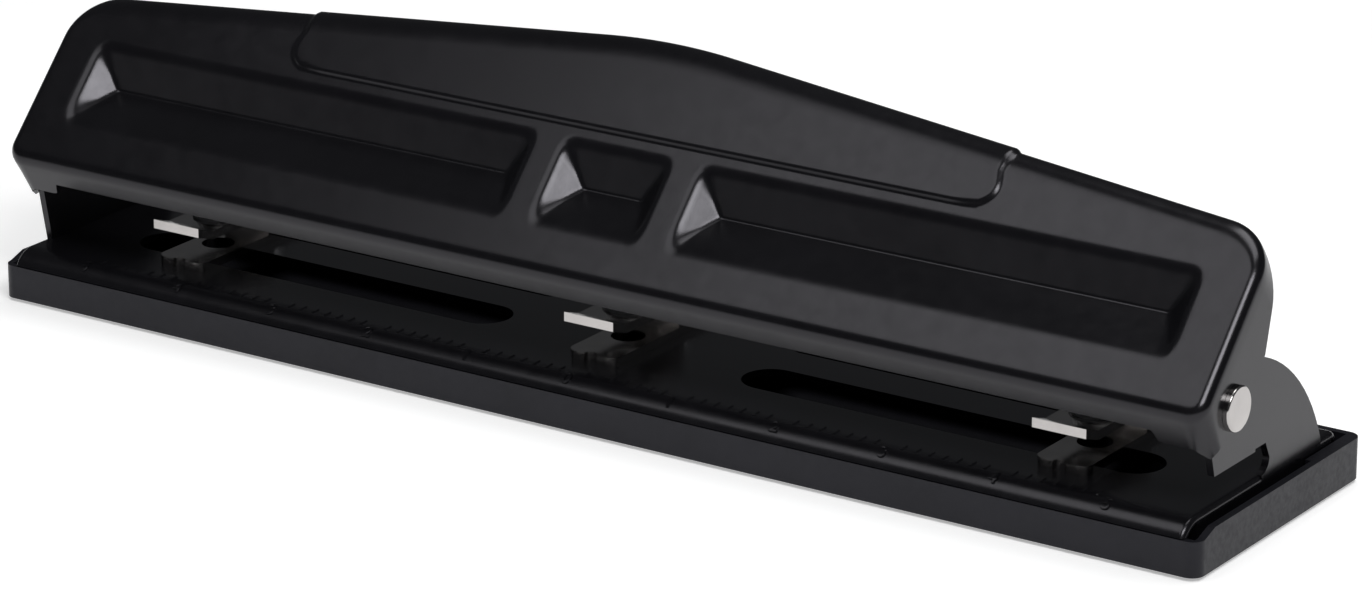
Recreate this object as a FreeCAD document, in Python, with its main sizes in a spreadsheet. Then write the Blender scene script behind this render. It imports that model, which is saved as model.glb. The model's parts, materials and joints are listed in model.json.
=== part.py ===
import FreeCAD, Part
import math
import os

import Sketcher
from FreeCAD import Placement, Rotation, Vector

# Three-hole paper punch: a chip tray, a pressed base frame with two ears, a
# drawn steel press handle hinged in the ears, and three punch heads.
# +X runs along the punch, +Y to its rear, +Z up. The origin is the bottom
# centre of the punch. Lengths are millimetres and angles degrees.
# Sizes called ..._back are measured rearwards from the tray's front face.

SIZES = [
    ("tray_length", 297.0, "overall length of the chip tray"),
    ("tray_depth", 67.5, "front to rear of the chip tray"),
    ("tray_wall", 1.6, "side wall of the tray"),
    ("tray_floor", 1.6, "floor of the tray"),
    ("tray_front", 8.0, "top of the tray's front wall above the table"),
    ("tray_side", 9.4, "top of the tray's end and rear walls"),
    ("tray_ramp", 4.0, "run of the ramp between front and end walls"),
    ("tray_corner", 2.8, "corner radius of the tray"),
    ("land_back", 48.5, "start of the thicker rear part of the end walls"),
    ("land_gap", 0.3, "gap between base frame and the thicker part"),
    ("pad_proud", 0.6, "rubber pads below the tray"),
    ("pad_length", 34.0, "rubber pad along the tray"),
    ("pad_width", 8.0, "rubber pad across the tray"),
    ("pad_inset", 9.0, "pad edge to the tray's outer faces"),
    ("base_top", 11.5, "top of the base plate above the table"),
    ("base_sheet", 1.5, "sheet of the base frame"),
    ("base_gap", 1.6, "side gap between base frame and tray wall"),
    ("base_rear_gap", 3.2, "rear gap between base frame and tray wall"),
    ("base_bend", 2.6, "outer bend radius of the base frame's rear edge"),
    ("base_edge", 1.3, "rounding of the base frame's side edges"),
    ("roll_bend", 6.0, "outer radius of the rolled front edge"),
    ("roll_clear", 0.2, "rolled edge above the tray's front wall"),
    ("roll_front", -0.5, "foremost point of the full roll, back from the tray face"),
    ("chip_slot_width", 12.4, "width of the two chip slots"),
    ("chip_slot_inner", 29.9, "inner end of a chip slot from the centre"),
    ("chip_slot_margin", 16.4, "outer end of a chip slot to the ear"),
    ("chip_slot_back", 23.7, "chip slot centre line"),
    ("screw_slot_back", 42.6, "lock screw line"),
    ("ear_front", 11.7, "front edge of an ear at its underside"),
    ("ear_under", 17.4, "underside of the ear's nose"),
    ("ear_nose", 28.0, "rear end of the nose's underside"),
    ("ear_notch", 32.2, "top of the relief notch"),
    ("ear_notch_rise", 0.6, "relief notch above the nose's underside"),
    ("ear_neck", 34.0, "front of the ear's neck"),
    ("ear_neck_bend", 3.0, "round between neck and plate"),
    ("ear_rear", 55.4, "rear end of the ear at the plate"),
    ("ear_rear_bend", 42.6, "radius of the ear's rear edge"),
    ("ear_crown_back", 27.0, "rear end of the ear's crown"),
    ("ear_crown_rise", 6.1, "ear's crown above the hinge axis"),
    ("ear_boss", 6.4, "round of the ear about the hinge"),
    ("hinge_back", 14.0, "hinge axis"),
    ("hinge_high", 31.3, "hinge axis above the table"),
    ("rivet_head", 9.3, "head of a hinge rivet"),
    ("rivet_head_thick", 1.3, "head thickness of a hinge rivet"),
    ("rivet_shank", 4.6, "shank of a hinge rivet"),
    ("rivet_tail", 7.0, "formed tail of a hinge rivet"),
    ("washer_outer", 8.6, "outer diameter of a hinge washer"),
    ("run_clear", 0.05, "running clearance at the hinges and guides"),
    ("handle_sheet", 1.2, "sheet of the press handle"),
    ("handle_play", 1.3, "ear face to the inside of the handle"),
    ("handle_tilt", 47.0, "slope of the handle's front face"),
    ("handle_foot_ahead", 11.75, "start of the front face, ahead of the hinge axis"),
    ("handle_foot_rise", 3.1, "start of the front face, above the hinge axis"),
    ("lip_start", -2.1, "bend between front face and lip, up the slope"),
    ("lip_end", -4.1, "lip edge, up the slope"),
    ("lip_depth", 5.9, "lip edge behind the front face"),
    ("cheek_foot", -4.0, "lower corner of the side cheek, up the slope"),
    ("cheek_foot_depth", 11.5, "lower corner behind the front face"),
    ("cheek_wide", 19.1, "widest point of the cheek, up the slope"),
    ("cheek_wide_depth", 14.6, "widest point behind the front face"),
    ("cheek_mid", 28.4, "middle of the cheek, up the slope"),
    ("cheek_mid_depth", 9.5, "middle of the cheek behind the front face"),
    ("cheek_top", 38.2, "top of the cheek, up the slope"),
    ("rim_depth", 3.1, "turned rim along the top edge"),
    ("lug", 4.4, "round of the cheek about the hinge"),
    ("apex", 54.8, "peak of the front face, up the slope"),
    ("shoulder", 39.2, "end of the sloping top edge, up the slope"),
    ("apex_bend", 150.0, "radius of the peak"),
    ("shoulder_bend", 12.0, "radius of the top corners"),
    ("face_bend", 2.4, "outer radius around the front face"),
    ("recess_low", 9.0, "lower edge of the pressed recesses"),
    ("recess_tall", 19.0, "height of the recesses"),
    ("recess_valley", 19.8, "bottom of the recesses, up the slope"),
    ("recess_deep", 5.0, "depth of the recesses"),
    ("recess_flat", 1.2, "width of a recess's bottom"),
    ("recess_inner", 20.6, "inner end of a long recess from the centre"),
    ("recess_margin", 11.6, "outer end of a long recess to the handle's end"),
    ("recess_hip", 6.0, "run of a recess's sloping end"),
    ("recess_short", 26.4, "length of the middle recess"),
    ("recess_grow", 0.3, "side growth of a recess on the inner face"),
    ("panel_half", 87.5, "half length of the raised grip panel"),
    ("panel_low", 31.5, "lower edge of the grip panel"),
    ("panel_rise", 0.7, "rise of the grip panel"),
    ("panel_rim", 4.5, "grip panel below the top edge"),
    ("bar_thick", 4.0, "press bar"),
    ("bar_arm", 11.0, "press bar from the hinge axis"),
    ("bar_lead", 20.0, "press bar above the hinge at rest, degrees"),
    ("bar_end_gap", 1.4, "end of the press bar to the ear"),
    ("hanger_sheet", 1.5, "sheet of a bar hanger"),
    ("hanger_inner", 16.2, "inner hangers from the centre"),
    ("hanger_margin", 4.9, "outer hangers to the ear"),
    ("hanger_low", 4.0, "hanger's weld edge, lower end up the slope"),
    ("hanger_tall", 23.0, "hanger's weld edge, length"),
    ("hanger_round", 4.2, "hanger's round about the bar"),
    ("bar_clip_outer", 7.2, "retaining ring on the bar"),
    ("bar_clip_thick", 0.8, "thickness of the bar's retaining ring"),
    ("head_spacing", 108.0, "hole spacing set at the left"),
    ("head_right", 111.5, "right head as it is set"),
    ("head_width", 12.2, "width of a punch head"),
    ("head_sheet", 2.0, "sheet of a punch head"),
    ("head_front", 10.9, "front edge of the head's die plate"),
    ("head_stop", 34.5, "paper stop face of a head"),
    ("head_foot", 48.6, "rear end of the head's foot"),
    ("head_bend", 2.6, "bend radius of the head's back"),
    ("head_corner", 2.6, "corner radius of the die plate"),
    ("head_notch", 1.6, "centre notch radius in the die plate's edge"),
    ("paper_gap", 4.5, "throat between die plate and upper plate"),
    ("lip_front", 10.4, "front edge of the flared upper plate"),
    ("lip_back", 15.4, "start of the flare"),
    ("lip_rise", 1.7, "rise of the flared edge"),
    ("pin_back", 24.7, "punch pin axis"),
    ("pin_wide", 7.1, "punch pin diameter"),
    ("pin_lift", 0.3, "pin tip above the throat at rest"),
    ("pin_bevel", 0.9, "depth of the V ground in the tip"),
    ("pin_gap", 0.15, "pin top below the press bar"),
    ("pin_crown", 0.8, "chamfer at the pin's top"),
    ("die_clear", 0.08, "radial clearance in the die hole"),
    ("groove_down", 1.0, "clip groove below the pin's top"),
    ("groove_deep", 0.5, "depth of the clip groove"),
    ("clip_thick", 0.6, "thickness of a spring clip"),
    ("clip_wide", 1.95, "spring clip beyond the pin"),
    ("bush_wall", 0.95, "wall of a guide bush"),
    ("bush_flange", 0.85, "guide bush flange beyond its body"),
    ("bush_rim", 0.6, "flange thickness"),
    ("spring_clear", 0.35, "return spring clear of the pin"),
    ("spring_wire", 0.7, "wire of a return spring"),
    ("spring_turns", 4.5, "turns of a return spring"),
    ("screw_wide", 4.0, "lock screw shank"),
    ("screw_clear", 0.3, "radial clearance of a lock screw"),
    ("screw_head", 8.0, "lock screw head"),
    ("screw_head_tall", 2.4, "height of a lock screw head"),
    ("screw_slot", 1.2, "width of the driver slot"),
    ("screw_slot_deep", 1.1, "depth of the driver slot"),
    ("screw_tail", 1.0, "shank below the lock nut"),
    ("nut_wide", 9.0, "width of a square lock nut"),
    ("nut_tall", 3.2, "height of a lock nut"),
]


class Size:
    """An amount worked out from the sheet: its expression and its value."""

    def __init__(self, text, value):
        self.text = text
        self.value = value

    def __str__(self):
        return self.text

    def __neg__(self):
        return Size("(-1 * %s)" % self, -self.value)

    def __add__(self, other):
        return Size("(%s + %s)" % (self, other), self.value + number(other))

    def __radd__(self, other):
        return Size("(%s + %s)" % (other, self), number(other) + self.value)

    def __sub__(self, other):
        return Size("(%s - %s)" % (self, other), self.value - number(other))

    def __rsub__(self, other):
        return Size("(%s - %s)" % (other, self), number(other) - self.value)

    def __mul__(self, other):
        return Size("(%s * %s)" % (self, other), self.value * number(other))

    def __rmul__(self, other):
        return Size("(%s * %s)" % (other, self), number(other) * self.value)

    def __truediv__(self, other):
        return Size("(%s / %s)" % (self, other), self.value / number(other))


def number(amount):
    return amount.value if isinstance(amount, Size) else float(amount)


def root(amount):
    return Size("sqrt(%s)" % amount, math.sqrt(amount.value))


def sine(angle):
    return Size("sin(%s)" % angle, math.sin(math.radians(angle.value)))


def cosine(angle):
    return Size("cos(%s)" % angle, math.cos(math.radians(angle.value)))


doc = FreeCAD.newDocument("hole_punch")
sheet = doc.addObject("Spreadsheet::Sheet", "sizes")
for row, (alias, value, note) in enumerate(SIZES, start=1):
    sheet.set("A%d" % row, note)
    sheet.set("B%d" % row, str(value))
    sheet.setAlias("B%d" % row, alias)
doc.recompute()

ZERO = Size("0", 0.0)
ALONG_X = Vector(1, 0, 0)
ALONG_Y = Vector(0, 1, 0)
ALONG_Z = Vector(0, 0, 1)
NODES = []


def size(alias):
    return Size("<<sizes>>." + alias, float(sheet.get(alias)))


def back(distance):
    """The y of a place that far back from the tray's front face."""
    return distance - size("tray_depth") / 2


# ---- helpers for sketches and features --------------------------------------

def bind(target, path, amount):
    target.setExpression(path, str(amount))


def keep(node, label):
    """Mark an object as one piece of the punch."""
    node.Label = label
    NODES.append(node)
    return node


def new_body(name):
    return doc.addObject("PartDesign::Body", name)


def new_sketch(body, plane, offset=None):
    sketch = body.newObject("Sketcher::SketchObject", body.Name + "_sketch")
    role = [face for face in body.Origin.OriginFeatures if face.Role == plane]
    sketch.AttachmentSupport = [(role[0], "")]
    sketch.MapMode = "FlatFace"
    if offset is not None:
        bind(sketch, "AttachmentOffset.Base.z", offset)
    return sketch


def hold(sketch, geometry, point, place):
    """Fix a sketch point at a place given by two sizes."""
    for axis, kind, amount in ((-2, "DistanceX", place[0]), (-1, "DistanceY", place[1])):
        if number(amount) == 0.0:
            rule = Sketcher.Constraint("PointOnObject", geometry, point, axis)
            sketch.addConstraint(rule)
        else:
            rule = Sketcher.Constraint(kind, -1, 1, geometry, point, number(amount))
            bind(sketch, "Constraints[%d]" % sketch.addConstraint(rule), amount)


def arc_between(start, end, radius, turn):
    """A short arc from start to end, turning left (+1) or right (-1)."""
    first = Vector(number(start[0]), number(start[1]), 0)
    last = Vector(number(end[0]), number(end[1]), 0)
    chord = last - first
    rise = math.sqrt(max(number(radius) ** 2 - chord.Length ** 2 / 4, 0.0))
    side = Vector(-chord.y, chord.x, 0).normalize() * turn
    middle = (first + last) / 2
    centre = middle + side * rise
    crown = centre - side * number(radius)
    return Part.Arc(first, crown, last)


def outline(sketch, corners):
    """A closed outline. A corner is (x, y), or (x, y, radius, turn) when the
    edge that ends there is an arc."""
    count = len(corners)
    ends = []
    for index in range(count):
        start = corners[index]
        end = corners[(index + 1) % count]
        first = Vector(number(start[0]), number(start[1]), 0)
        last = Vector(number(end[0]), number(end[1]), 0)
        if len(end) == 4:
            edge = sketch.addGeometry(arc_between(start, end, end[2], end[3]))
            begins = 1 if end[3] > 0 else 2
        else:
            edge = sketch.addGeometry(Part.LineSegment(first, last))
            begins = 1
        ends.append((edge, begins, 3 - begins))
    for index in range(count):
        edge, begins, stops = ends[index]
        after = ends[(index + 1) % count]
        joint = Sketcher.Constraint("Coincident", edge, stops, after[0], after[1])
        sketch.addConstraint(joint)
    for index in range(count):
        edge, begins, stops = ends[index]
        hold(sketch, edge, begins, corners[index])
        end = corners[(index + 1) % count]
        if len(end) == 4:
            rule = Sketcher.Constraint("Radius", edge, number(end[2]))
            bind(sketch, "Constraints[%d]" % sketch.addConstraint(rule), end[2])


def ring(sketch, centre, radius):
    """A full circle."""
    middle = Vector(number(centre[0]), number(centre[1]), 0)
    edge = sketch.addGeometry(Part.Circle(middle, Vector(0, 0, 1), number(radius)))
    hold(sketch, edge, 3, centre)
    rule = Sketcher.Constraint("Radius", edge, number(radius))
    bind(sketch, "Constraints[%d]" % sketch.addConstraint(rule), radius)


def slot(sketch, left, right, middle, width):
    """A round-ended slot along x between two outermost places."""
    half = width / 2
    reach = number(half)
    ends = []
    for end, quarter in ((left + half, 1), (right - half, -1)):
        centre = Vector(number(end), number(middle), 0)
        round_end = Part.Circle(centre, ALONG_Z, reach)
        start = math.pi / 2 * quarter
        ends.append(sketch.addGeometry(Part.ArcOfCircle(round_end, start, start + math.pi)))
        hold(sketch, ends[-1], 3, (end, middle))
        rule = Sketcher.Constraint("Radius", ends[-1], reach)
        bind(sketch, "Constraints[%d]" % sketch.addConstraint(rule), half)
    for first, first_end, last, last_end in ((0, 2, 1, 1), (1, 2, 0, 1)):
        height = number(middle) + (reach if first else -reach)
        start = Vector(number(right - half if first else left + half), height, 0)
        stop = Vector(number(left + half if first else right - half), height, 0)
        side = sketch.addGeometry(Part.LineSegment(start, stop))
        rule = Sketcher.Constraint("Tangent", ends[first], first_end, side, 1)
        sketch.addConstraint(rule)
        rule = Sketcher.Constraint("Tangent", side, 2, ends[last], last_end)
        sketch.addConstraint(rule)


def box_outline(sketch, low, high):
    outline(sketch, [(low[0], low[1]), (high[0], low[1]),
                     (high[0], high[1]), (low[0], high[1])])


def pad(body, sketch, length, symmetric=False, down=False):
    feature = body.newObject("PartDesign::Pad", body.Name + "_pad")
    feature.Profile = sketch
    feature.SideType = "Symmetric" if symmetric else "One side"
    feature.Reversed = down
    bind(feature, "Length", length)
    return feature


def pocket(body, sketch, length=None, down=False):
    """Cut a sketch right through both ways, or to a length."""
    feature = body.newObject("PartDesign::Pocket", body.Name + "_pocket")
    feature.Profile = sketch
    if length is None:
        feature.Type = "ThroughAll"
        feature.SideType = "Symmetric"
    else:
        feature.Reversed = down
        bind(feature, "Length", length)
    return feature


def revolve(body, sketch):
    feature = body.newObject("PartDesign::Revolution", body.Name + "_turn")
    feature.Profile = sketch
    feature.ReferenceAxis = (sketch, ["V_Axis"])
    feature.Angle = 360
    return feature


def round_edges(body, chosen, radius, chamfer=False):
    """Round the edges that chosen(edge) picks on the body as it stands."""
    doc.recompute()
    base = body.Tip
    edges = base.Shape.Edges
    picked = ["Edge%d" % (i + 1) for i in range(len(edges)) if chosen(edges[i])]
    if not picked:
        raise RuntimeError("no edge to round on " + body.Name)
    kind = "Chamfer" if chamfer else "Fillet"
    feature = body.newObject("PartDesign::" + kind, body.Name + "_" + kind.lower())
    feature.Base = (base, picked)
    bind(feature, "Size" if chamfer else "Radius", radius)
    return feature


def near(a, b):
    return abs(a - number(b)) < 0.01


def runs_along(edge, axis):
    """True for a straight edge along that axis of the body."""
    direction = edge.Vertexes[-1].Point - edge.Vertexes[0].Point
    if direction.Length < 0.01 or not isinstance(edge.Curve, Part.Line):
        return False
    return abs(direction.normalize().dot(axis)) > 0.999


def place(node, x=None, y=None, z=None):
    for axis, amount in (("x", x), ("y", y), ("z", z)):
        if amount is not None:
            bind(node, ".Placement.Base." + axis, amount)


# ---- places that several pieces share ---------------------------------------

TRAY_HALF = size("tray_length") / 2
FLOOR_TOP = size("pad_proud") + size("tray_floor")
BASE_HALF = TRAY_HALF - size("tray_wall") - size("base_gap")
BASE_REAR = back(size("tray_depth") - size("tray_wall") - size("base_rear_gap"))
BASE_TOP = size("base_top")
BASE_UNDER = BASE_TOP - size("base_sheet")
EAR_INSIDE = BASE_HALF - size("base_sheet")
HANGER_OUTER = EAR_INSIDE - size("hanger_margin")
HANDLE_INSIDE = BASE_HALF + size("handle_play")
HANDLE_HALF = HANDLE_INSIDE + size("handle_sheet")
HINGE_Y = back(size("hinge_back"))
HINGE_Z = size("hinge_high")
FACE_Y = HINGE_Y - size("handle_foot_ahead")
FACE_Z = HINGE_Z + size("handle_foot_rise")
TILT = size("handle_tilt")
BAR_Y = HINGE_Y + size("bar_arm") * cosine(size("bar_lead"))
BAR_Z = HINGE_Z + size("bar_arm") * sine(size("bar_lead"))
DIE_TOP = BASE_TOP + size("head_sheet")
THROAT_TOP = DIE_TOP + size("paper_gap")
GUIDE_TOP = THROAT_TOP + size("head_sheet")
PIN_Y = back(size("pin_back"))
PIN_RADIUS = size("pin_wide") / 2
BUSH_BORE = PIN_RADIUS + size("run_clear")
BUSH_RADIUS = BUSH_BORE + size("bush_wall")
GROOVE_RADIUS = PIN_RADIUS - size("groove_deep")
PIN_TIP = THROAT_TOP + size("pin_lift")
PIN_TOP = BAR_Z - size("bar_thick") / 2 - size("pin_gap")
CLIP_TOP = PIN_TOP - size("groove_down")
CLIP_UNDER = CLIP_TOP - size("clip_thick")
SPRING_FOOT = GUIDE_TOP + size("bush_rim")
SCREW_Y = back(size("screw_slot_back"))


def on_handle(y, z):
    """A place in the handle's own frame: (up the slope, out of the face)."""
    over = y - FACE_Y
    rise = z - FACE_Z
    up = over * cosine(TILT) + rise * sine(TILT)
    out = rise * cosine(TILT) - over * sine(TILT)
    return up, out


def tilt_with_handle(body):
    """Stand a body that is drawn in the handle's own frame in its place."""
    body.Placement = Placement(Vector(0, 0, 0), Rotation(ALONG_X, TILT.value))
    bind(body, ".Placement.Rotation.Angle", TILT)
    place(body, y=FACE_Y, z=FACE_Z)


# ---- tray --------------------------------------------------------------------

def make_tray():
    tray = new_body("chip_tray")
    low = size("pad_proud")
    half_depth = size("tray_depth") / 2
    wall = size("tray_wall")
    shape = new_sketch(tray, "XY_Plane", low)
    box_outline(shape, (-TRAY_HALF, -half_depth), (TRAY_HALF, half_depth))
    pad(tray, shape, size("tray_side") - low)
    round_edges(tray, lambda edge: runs_along(edge, ALONG_Z), size("tray_corner"))
    inner = new_sketch(tray, "XY_Plane", FLOOR_TOP)
    land = BASE_HALF + size("land_gap")
    land_y = back(size("land_back"))
    inside = TRAY_HALF - wall
    rear = half_depth - wall
    outline(inner, [(-inside, -half_depth + wall), (inside, -half_depth + wall),
                    (inside, land_y), (land, land_y), (land, rear),
                    (-land, rear), (-land, land_y), (-inside, land_y)])
    pocket(tray, inner, size("tray_side") - FLOOR_TOP, down=True)
    front = new_sketch(tray, "YZ_Plane")
    step = -half_depth + size("tray_corner")
    high = size("tray_side") + 1
    outline(front, [(-half_depth - 1, size("tray_front")), (step, size("tray_front")),
                    (step + size("tray_ramp"), size("tray_side")),
                    (step + size("tray_ramp"), high), (-half_depth - 1, high)])
    pocket(tray, front)
    keep(tray, "chip_tray")


def make_pads():
    pads = []
    for side in (-1, 1):
        for end in (-1, 1):
            block = doc.addObject("Part::Box", "pad_%d_%d" % (side + 1, end + 1))
            bind(block, "Length", size("pad_length"))
            bind(block, "Width", size("pad_width"))
            bind(block, "Height", size("pad_proud"))
            reach_x = TRAY_HALF - size("pad_inset") - size("pad_length") / 2
            reach_y = size("tray_depth") / 2 - size("pad_inset") - size("pad_width") / 2
            place(block, reach_x * side - size("pad_length") / 2,
                  reach_y * end - size("pad_width") / 2)
            pads.append(block)
    group = doc.addObject("Part::Compound", "tray_pads")
    group.Links = pads
    keep(group, "tray_pads")


# ---- base frame --------------------------------------------------------------

def plate_section(sketch):
    """Rolled front edge, flat plate and turned-down rear edge."""
    sheet_thick = size("base_sheet")
    bend = size("base_bend")
    roll = size("roll_bend")
    roll_y = back(size("roll_front") + roll)
    edge_z = size("tray_front") + size("roll_clear")
    drop = edge_z - BASE_TOP + roll
    outer_y = roll_y - root(roll * roll - drop * drop)
    inner_roll = roll - sheet_thick
    inner_y = roll_y - root(inner_roll * inner_roll - drop * drop)
    outline(sketch, [
        (outer_y, edge_z),
        (roll_y, BASE_TOP, roll, -1),
        (BASE_REAR - bend, BASE_TOP),
        (BASE_REAR, BASE_TOP - bend, bend, -1),
        (BASE_REAR, FLOOR_TOP),
        (BASE_REAR - sheet_thick, FLOOR_TOP),
        (BASE_REAR - sheet_thick, BASE_TOP - bend),
        (BASE_REAR - bend, BASE_UNDER, bend - sheet_thick, 1),
        (roll_y, BASE_UNDER),
        (inner_y, edge_z, inner_roll, 1),
    ])


def ear_outline(sketch, open_nose):
    """Nose over the paper or a plain front edge, round rear edge and crown."""
    foot = BASE_TOP - size("base_edge")
    neck = back(size("ear_neck"))
    notch_top = size("ear_under") + size("ear_notch_rise")
    rear_top = back(size("ear_crown_back"))
    boss = size("ear_boss")
    if open_nose:
        front = [
            (back(size("ear_front")), size("ear_under")),
            (back(size("ear_nose")), size("ear_under")),
            (back(size("ear_nose")), notch_top),
            (back(size("ear_notch")), notch_top),
            (neck, BASE_TOP + size("ear_neck_bend")),
            (neck - size("ear_neck_bend"), BASE_TOP, size("ear_neck_bend"), -1),
            (neck - size("ear_neck_bend"), foot),
        ]
    else:
        front = [(back(size("ear_front")), foot)]
    outline(sketch, front + [
        (back(size("ear_rear")), foot),
        (back(size("ear_rear")), BASE_TOP),
        (rear_top, HINGE_Z + size("ear_crown_rise"), size("ear_rear_bend"), 1),
        (HINGE_Y, HINGE_Z + boss),
        (HINGE_Y - boss, HINGE_Z, boss, 1),
    ])


def make_base():
    base = new_body("base_frame")
    section = new_sketch(base, "YZ_Plane")
    plate_section(section)
    pad(base, section, BASE_HALF * 2, symmetric=True)
    roll_y = back(size("roll_front") + size("roll_bend"))
    flange_end = BASE_REAR - size("base_bend")
    for side in (-1, 1):
        flange = new_sketch(base, "XY_Plane", FLOOR_TOP)
        near_x = EAR_INSIDE * side
        far_x = BASE_HALF * side
        box_outline(flange, (near_x, roll_y), (far_x, flange_end))
        pad(base, flange, BASE_TOP - size("base_sheet") / 2 - FLOOR_TOP)

    def side_edge(edge):
        middle = edge.CenterOfMass
        return (runs_along(edge, ALONG_Y) and near(abs(middle.x), BASE_HALF)
                and near(middle.z, BASE_TOP))

    round_edges(base, side_edge, size("base_edge"))
    for side in (-1, 1):
        inner_face = EAR_INSIDE if side > 0 else -BASE_HALF
        ear = new_sketch(base, "YZ_Plane", inner_face)
        ear_outline(ear, side > 0)
        pad(base, ear, size("base_sheet"))
    bore = new_sketch(base, "YZ_Plane")
    ring(bore, (HINGE_Y, HINGE_Z), size("rivet_shank") / 2)
    pocket(base, bore)
    slots = new_sketch(base, "XY_Plane")
    inner = size("chip_slot_inner")
    outer = EAR_INSIDE - size("chip_slot_margin")
    chip_y = back(size("chip_slot_back"))
    screw = size("screw_wide") + size("screw_clear") * 2
    slot(slots, inner, outer, chip_y, size("chip_slot_width"))
    slot(slots, -outer, -inner, chip_y, size("chip_slot_width"))
    slot(slots, inner, outer, SCREW_Y, screw)
    slot(slots, -outer, -inner, SCREW_Y, screw)
    ring(slots, (ZERO, PIN_Y), size("chip_slot_width") / 2)
    ring(slots, (ZERO, SCREW_Y), screw / 2)
    pocket(base, slots)
    keep(base, "base_frame")


# ---- press handle ------------------------------------------------------------

def slope_at(x):
    """Height of the sloping top edge at a distance from the centre."""
    fall = (size("apex") - size("shoulder")) / HANDLE_HALF
    return size("apex") - fall * x


def press_recess(block, low_x, high_x, hip, deep, grow):
    """One hip-ended recess, pressed into the face down to a narrow bottom."""
    low = size("recess_low") - grow
    high = size("recess_low") + size("recess_tall") + grow
    middle = size("recess_valley")
    half_flat = size("recess_flat") / 2 + grow
    mouth = new_sketch(block, "XY_Plane", -deep)
    box_outline(mouth, (low_x - grow, low), (high_x + grow, high))
    bottom = new_sketch(block, "XY_Plane", -deep - size("recess_deep"))
    box_outline(bottom, (low_x - grow + hip, middle - half_flat),
                (high_x + grow - hip, middle + half_flat))
    feature = block.newObject("PartDesign::SubtractiveLoft", block.Name + "_recess")
    feature.Profile = mouth
    feature.Sections = [bottom]
    feature.Ruled = True


def handle_block(name, inset):
    """The handle as a solid, its sheet faces moved in by inset."""
    hollow = number(inset) > 0
    block = new_body(name)
    half = HANDLE_HALF - inset
    far = size("apex") + size("rim_depth")
    section = new_sketch(block, "YZ_Plane")
    lean = (size("lip_start") - size("lip_end")) / size("lip_depth")
    shift = inset * root(1 + lean * lean)
    if hollow:
        depth = size("cheek_wide_depth") * 2
        outline(section, [
            (size("lip_start") - lean * inset + shift, -inset),
            (far, -inset),
            (far, -depth),
            (size("lip_start") - lean * depth + shift, -depth),
        ])
    else:
        outline(section, [
            (size("lip_start"), ZERO),
            (far, ZERO),
            (far, -size("rim_depth")),
            (size("cheek_top"), -size("rim_depth")),
            (size("cheek_mid"), -size("cheek_mid_depth")),
            (size("cheek_wide"), -size("cheek_wide_depth")),
            (size("cheek_foot"), -size("cheek_foot_depth")),
            (size("lip_end"), -size("lip_depth")),
        ])
    pad(block, section, half * 2, symmetric=True)
    top = new_sketch(block, "XY_Plane")
    outline(top, [
        (-half - 1, slope_at(half + 1) - inset),
        (ZERO, slope_at(ZERO) - inset),
        (half + 1, slope_at(half + 1) - inset),
        (half + 1, far + 1),
        (-half - 1, far + 1),
    ])
    pocket(block, top)

    def peak_edge(edge):
        return runs_along(edge, ALONG_Z) and near(edge.CenterOfMass.x, 0)

    def corner_edge(edge):
        middle = edge.CenterOfMass
        return (runs_along(edge, ALONG_Z) and near(abs(middle.x), half)
                and middle.y > number(size("cheek_mid")))

    def face_edge(edge):
        at_face = all(near(point.Z, -inset) for point in edge.Vertexes)
        return at_face and edge.CenterOfMass.y > number(size("lip_start")) - 1

    round_edges(block, peak_edge, size("apex_bend"))
    round_edges(block, corner_edge, size("shoulder_bend") - inset)
    round_edges(block, face_edge, size("face_bend") - inset)
    panel = new_sketch(block, "XY_Plane", -inset)
    reach = size("panel_half") - inset
    below = size("panel_rim") + inset
    outline(panel, [
        (-reach, size("panel_low") + inset),
        (reach, size("panel_low") + inset),
        (reach, slope_at(reach) - below),
        (ZERO, slope_at(ZERO) - below),
        (-reach, slope_at(reach) - below),
    ])
    pad(block, panel, size("panel_rise"))
    grow = size("recess_grow") if hollow else ZERO
    hip = size("recess_hip")
    inner = size("recess_inner")
    outer = HANDLE_HALF - size("recess_margin")
    short = size("recess_short") / 2
    press_recess(block, -outer, -inner, hip, inset, grow)
    press_recess(block, -short, short, hip, inset, grow)
    press_recess(block, inner, outer, hip, inset, grow)
    if not hollow:
        pivot = on_handle(HINGE_Y, HINGE_Z)
        lug = new_sketch(block, "YZ_Plane")
        ring(lug, pivot, size("lug"))
        pad(block, lug, half * 2, symmetric=True)
        bore = new_sketch(block, "YZ_Plane")
        ring(bore, pivot, size("rivet_shank") / 2 + size("run_clear"))
        pocket(block, bore)
    tilt_with_handle(block)
    return block


def make_handle():
    handle = doc.addObject("Part::Cut", "press_handle")
    handle.Base = handle_block("handle_outside", ZERO)
    handle.Tool = handle_block("handle_inside", size("handle_sheet"))
    keep(handle, "press_handle")


def make_hanger(label, centre):
    """A plate welded on edge inside the handle, with the bar through it."""
    hanger = new_body(label)
    bar = on_handle(BAR_Y, BAR_Z)
    half_round = size("hanger_round")
    offset = centre - size("hanger_sheet") / 2
    web = new_sketch(hanger, "YZ_Plane", offset)
    weld = -size("handle_sheet")
    outline(web, [
        (size("hanger_low"), weld),
        (bar[0] - half_round * 0.9, bar[1]),
        (bar[0] + half_round * 0.9, bar[1]),
        (size("hanger_low") + size("hanger_tall"), weld),
    ])
    pad(hanger, web, size("hanger_sheet"))
    eye = new_sketch(hanger, "YZ_Plane", offset)
    ring(eye, bar, half_round)
    pad(hanger, eye, size("hanger_sheet"))
    hole = new_sketch(hanger, "YZ_Plane")
    ring(hole, bar, size("bar_thick") / 2)
    pocket(hanger, hole)
    tilt_with_handle(hanger)
    keep(hanger, label)


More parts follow.
